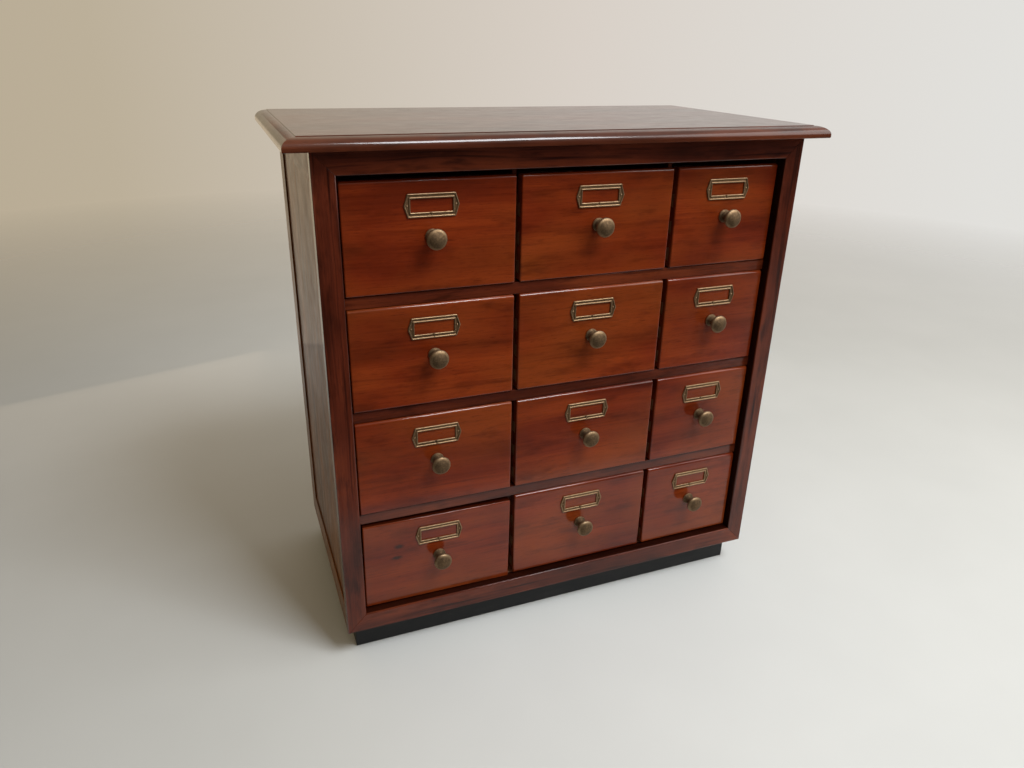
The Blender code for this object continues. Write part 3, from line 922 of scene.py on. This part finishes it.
def add_tray(tag, body):
    """Drawer sides, back and bottom, dovetailed at the corners."""
    low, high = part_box("tray_" + tag)
    height = high.z - low.z
    for side, x in (("left", low.x), ("right", high.x - TRAY_WALL)):
        shape = bmesh.new()
        add_prism(shape, tray_side_outline(low, high, low.z, height), "X", x, x + TRAY_WALL)
        round_edges(shape, TRAY_ARRIS, 2, "Y")
        piece = to_object(f"drawer_side_{side}_{tag}", shape, "tray_wood")
        lay_grain(piece, "Y")
        place_piece(piece, body, ["tray_" + tag] if side == "left" else ())

    root = high.y - TRAY_WALL
    shape = bmesh.new()
    add_box(shape, (low.x + TRAY_WALL + GAP / 3, root, low.z), (high.x - TRAY_WALL - GAP / 3, high.y, high.z))
    tails = tail_outlines(low.z, height, root, high.y, TAIL_SLACK)
    sockets = [[(root, low.z), (high.y, low.z)]]
    sockets += [[tail[1], tail[2]] for tail in tails]
    uppers = [[tail[0], tail[3]] for tail in tails] + [[(root, high.z), (high.y, high.z)]]
    for (near, far), (near_top, far_top) in zip(sockets, uppers):
        for x in (low.x, high.x - TRAY_WALL):
            end = x + TRAY_WALL + (GAP / 3 if x == low.x else 0)
            add_prism(shape, [near, far, far_top, near_top], "X", x, end)
    piece = to_object(f"drawer_back_{tag}", shape, "tray_wood")
    lay_grain(piece, "X")
    place_piece(piece, body)

    inner = (TRAY_WALL + GAP / 2, 0, 0)
    corner = Vector((low.x, low.y, low.z + TRAY_BOTTOM[0])) + Vector(inner)
    other = Vector((high.x, root - GAP / 2, low.z + TRAY_BOTTOM[1])) - Vector(inner)
    board(f"drawer_bottom_{tag}", corner, other, "plywood", "X", "tray_wood", body, arris=TRAY_BOTTOM_ARRIS)


def add_front(tag, body, face, lean):
    """Drawer front with rounded arrises and sockets for the sides' dovetails."""
    low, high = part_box("front_" + tag)
    size = high - low
    turn, other = math.cos(lean), math.sin(lean)
    width = (size.x * turn - size.z * other) / (turn**2 - other**2)
    height = (size.z * turn - size.x * other) / (turn**2 - other**2)
    shape = bmesh.new()
    add_box(shape, (-width / 2, 0, -height / 2), (width / 2, size.y, height / 2))
    low_front = tag == "{}_{}".format(*LOW_FRONT)

    def at_top(middle):
        return middle.y < GAP and middle.z > height / 2 - GAP

    if not low_front:
        round_edges(shape, FRONT_TOP_ARRIS, 6, near=at_top)
    round_edges(shape, FRONT_ARRIS, 4)
    piece = to_object(f"drawer_front_{tag}", shape, "knotty_wood" if low_front else "front_wood", face)

    tray_low, tray_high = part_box("tray_" + tag)
    tray_height = tray_high.z - tray_low.z
    sockets = bmesh.new()
    end = tray_low.y - GAP - TAIL_DEPTH - TAIL_SLACK
    for wall, outward in ((tray_low.x, -1), (tray_high.x, 1)):
        outside, inside = wall + outward * TAIL_CUT, wall - outward * TRAY_WALL
        for tail in tail_outlines(tray_low.z, tray_height, tray_low.y + 0.002, end, TAIL_SLACK * 2):
            add_prism(sockets, tail, "X", *sorted((outside, inside)))
    bmesh.ops.transform(sockets, matrix=face.inverted(), verts=sockets.verts)
    carve(piece, sockets)

    def low_top_shade(point):
        """Painted shade: 1 on the upper edge of the front that was cut shorter, darkened there and with its
        coat's reflection mostly taken away.
        """
        above = point.z > height / 2 - 1.1 * FRONT_ARRIS
        return min(1.0, point.y / FRONT_ARRIS) if low_front and above else 0.0

    shift = lay_grain(piece, "X", recess=low_top_shade)
    place_piece(piece, body, ["front_" + tag])
    return shift


def add_drawer(row, column, shared):
    """One drawer: front, knob, screw, washer, label frame and pins, and the tray."""
    tag, body = f"{row}_{column}", f"drawer_{row}_{column}"
    lean = LOW_FRONT_LEAN if (row, column) == LOW_FRONT else 0.0
    low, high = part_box("front_" + tag)
    middle = (low + high) / 2
    face = Matrix.Translation((middle.x, low.y, middle.z)) @ Matrix.Rotation(lean, 4, "Y")
    shift = add_front(tag, body, face, lean)
    if (row, column) == LOW_FRONT:
        knots = [shift + np.array(place) for place in KNOT_PLACES]
        add_knots(finishes["knotty_wood"], knots, KNOT_RADII, KNOT_TONE)
    back = face @ Matrix.Translation((0, high.y - low.y + GAP / 3, 0))
    draw = random.Random("turns" + tag)

    def fitting(name, mesh, place, nodes=()):
        piece = bpy.data.objects.new(f"{name}_{tag}", mesh)
        bpy.context.scene.collection.objects.link(piece)
        piece.matrix_world = place
        place_piece(piece, body, nodes)

    spin = Matrix.Rotation(draw.uniform(0, 2 * math.pi), 4, "Y")
    label_low, label_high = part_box("label_frame_" + tag)
    label_middle = (label_low + label_high) / 2
    label = Matrix.Translation((label_middle.x, label_high.y, label_middle.z)) @ Matrix.Rotation(lean, 4, "Y")
    gap = Matrix.Translation((0, -GAP, 0))
    fitting("brass_knob", shared["knob"], face @ gap @ spin, ["knob_" + tag])
    fitting("label_holder", shared["label"], label, ["label_frame_" + tag])
    fitting("label_pins", shared["pins"], label)
    fitting("knob_washer", shared["washer"], back)
    screw = back @ Matrix.Translation((0, KNOB_SCREW_DEPTH, 0))
    screw_turn = Matrix.Rotation(draw.uniform(0, math.pi), 4, "Y")
    fitting("knob_screw", shared["screw"], screw @ screw_turn)
    add_tray(tag, body)


def shared_meshes():
    """Meshes that all twelve drawers share."""
    knob_low, knob_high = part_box("knob_1_1")
    label_low, label_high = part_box("label_frame_1_1")
    label_size = label_high - label_low
    radius, length = (knob_high.x - knob_low.x) / 2, knob_high.y - knob_low.y

    def finished(name, shape, finish, slot=None, sharp=None, **masks):
        maker = to_object(name, shape, finish, sharp=sharp)
        if slot:
            carve(maker, slot)
        lay_grain(maker, "X", **masks)
        mesh = maker.data
        bpy.data.objects.remove(maker)
        return mesh

    def label_proud(point):
        return max(0.0, min(1.0, (-point.y / label_size.y - 0.42) / 0.55))

    def pins_proud(point):
        return 0.8

    head, slot = screw_shape(0.0040, 0.0026, 0.0010, 1)
    knob = knob_mesh(radius, KNOB_FOOT, length)
    label = label_mesh(label_size.x, label_size.z, label_size.y)
    pins = pins_mesh(label_size.y)
    return {
        "knob": finished("knob_turned", knob, "knob_brass", proud=knob_proud),
        "label": finished("label_pressed", label, "label_brass", proud=label_proud, sharp=50),
        "pins": finished("pin_heads", pins, "label_brass", proud=pins_proud, sharp=50),
        "washer": finished("washer", washer_mesh(), "steel", sharp=40),
        "screw": finished("screw_head", head, "steel", slot=slot, sharp=40),
    }


def add_drawers():
    shared = shared_meshes()
    for row in range(1, ROWS + 1):
        for column in range(1, COLUMNS + 1):
            add_drawer(row, column, shared)


# ---------------------------------------------------------------- studio


def add_floor():
    """Pale matt floor, with painted shade darkening it towards the left, that fades out far from the cabinet.
    """
    shape = bmesh.new()
    bmesh.ops.create_circle(shape, cap_ends=True, radius=FLOOR_RADIUS, segments=96)
    mesh = bpy.data.meshes.new("floor")
    shape.to_mesh(mesh)
    shape.free()
    floor = bpy.data.objects.new("floor", mesh)
    bpy.context.scene.collection.objects.link(floor)
    g = Finish("floor_paint")
    place = g.add("TexCoord").outputs["Object"]
    cloud = g.noise(place, (1.3, 1.3, 1.3), 4.0, 0.6)
    colour = g.ramp(cloud, [(0.3, (0.50, 0.51, 0.50)), (0.7, (0.55, 0.56, 0.55))])
    # Painted shade: the floor's colour darkens towards the left, away from the lights on the right.
    left = g.spread(g.add("SeparateXYZ", {0: place}).outputs["X"], -1.3, -0.1, 0.66, 1.0)
    colour = g.add("VectorMath", {0: colour, "Scale": left}, operation="SCALE").outputs[0]
    g.shade(Base_Color=colour, Roughness=0.5, Specular_IOR_Level=0.3)
    away = g.add("VectorMath", {0: place}, operation="LENGTH").outputs["Value"]
    clear = g.add("BsdfTransparent")
    blend = g.add("MixShader", {"Fac": g.spread(away, *FLOOR_FADE)})
    g.tree.links.new(g.shader.outputs["BSDF"], blend.inputs[1])
    g.tree.links.new(clear.outputs["BSDF"], blend.inputs[2])
    g.tree.links.new(blend.outputs["Shader"], g.tree.nodes["Material Output"].inputs["Surface"])
    mesh.materials.append(g.material)


def add_world():
    """Pale backdrop, warmer to the left. Mirrored, it has its own tones, dark in front and below."""
    world = bpy.data.worlds.new("studio")
    bpy.context.scene.world = world
    g = Graph(world)
    parts = g.add("SeparateXYZ", {0: g.add("TexCoord").outputs["Generated"]})
    across = g.spread(parts.outputs["X"], -1.0, 1.0)
    seen = g.add("LightPath").outputs["Is Camera Ray"]
    wall = g.mix(seen, g.ramp(across, ROOM_TONES), g.ramp(across, WALL_TONES))
    ahead = g.spread(parts.outputs["Y"], -0.55, 0.25, 0.0, 1.0)
    above = g.spread(parts.outputs["Z"], -0.02, 0.65, 0.0, 1.0)
    level = g.math("MAXIMUM", g.math("MULTIPLY", ahead, 0.95), g.math("MULTIPLY", above, ROOM_LIGHT))
    level = g.math("MAXIMUM", level, ROOM_DARK)
    strength = g.add("Mix", {"Factor": seen, "A": level, "B": 1.0}).outputs["Result"]
    background = g.tree.nodes["Background"]
    g.give(background.inputs["Color"], wall)
    g.give(background.inputs["Strength"], strength)


def add_light(name, place, target, size, power, colour, mirrored=True):
    """A rectangular soft light that faces the target, seen in glossy surfaces or only lighting them."""
    data = bpy.data.lights.new(name, "AREA")
    data.shape = "RECTANGLE"
    data.size, data.size_y = size
    data.energy = power
    data.color = colour
    light = bpy.data.objects.new(name, data)
    bpy.context.scene.collection.objects.link(light)
    light.location = place
    light.rotation_euler = (Vector(target) - Vector(place)).to_track_quat("-Z", "Y").to_euler()
    light.visible_camera = False
    light.visible_glossy = mirrored


def add_flag():
    """Black net that only reflections see: it dims the bright floor in the varnished fronts."""
    shape = bmesh.new()
    add_box(shape, FLAG_LOW, FLAG_HIGH)
    flag = to_object("flag", shape, "flag_net")
    flag.visible_camera = False
    flag.visible_diffuse = False
    flag.visible_shadow = False
    flag.visible_transmission = False


def add_camera():
    data = bpy.data.cameras.new("camera")
    data.lens = CAMERA_LENS
    data.sensor_width = 36.0
    data.shift_x, data.shift_y = CAMERA_SHIFT
    camera = bpy.data.objects.new("camera", data)
    bpy.context.scene.collection.objects.link(camera)
    camera.location = CAMERA_PLACE
    camera.rotation_euler = [math.radians(turn) for turn in CAMERA_TURN]
    bpy.context.scene.camera = camera


def add_studio():
    add_floor()
    add_world()
    add_light("window", (2.2, -1.3, 2.0), (0.0, 0.0, 0.35), (2.2, 1.9), 42.0, (1.0, 0.995, 0.98))
    add_light("skylight", (0.60, -1.35, 2.40), (0.0, 0.0, 0.45), (0.95, 0.80), 58.0, (0.92, 0.96, 1.0))
    add_light("bounce", (-0.72, 0.95, 0.34), (-0.45, 0.0, 0.30), (0.80, 0.66), 0.45, (1.0, 0.78, 0.56))
    add_light("fill", (0.1, -2.6, 0.9), (0.0, 0.0, 0.35), (2.4, 1.6), 9.0, (1.0, 0.97, 0.94), mirrored=False)
    add_flag()
    add_camera()
    bpy.context.scene.view_settings.view_transform = "Standard"


add_studio()
add_carcass()
add_drawers()
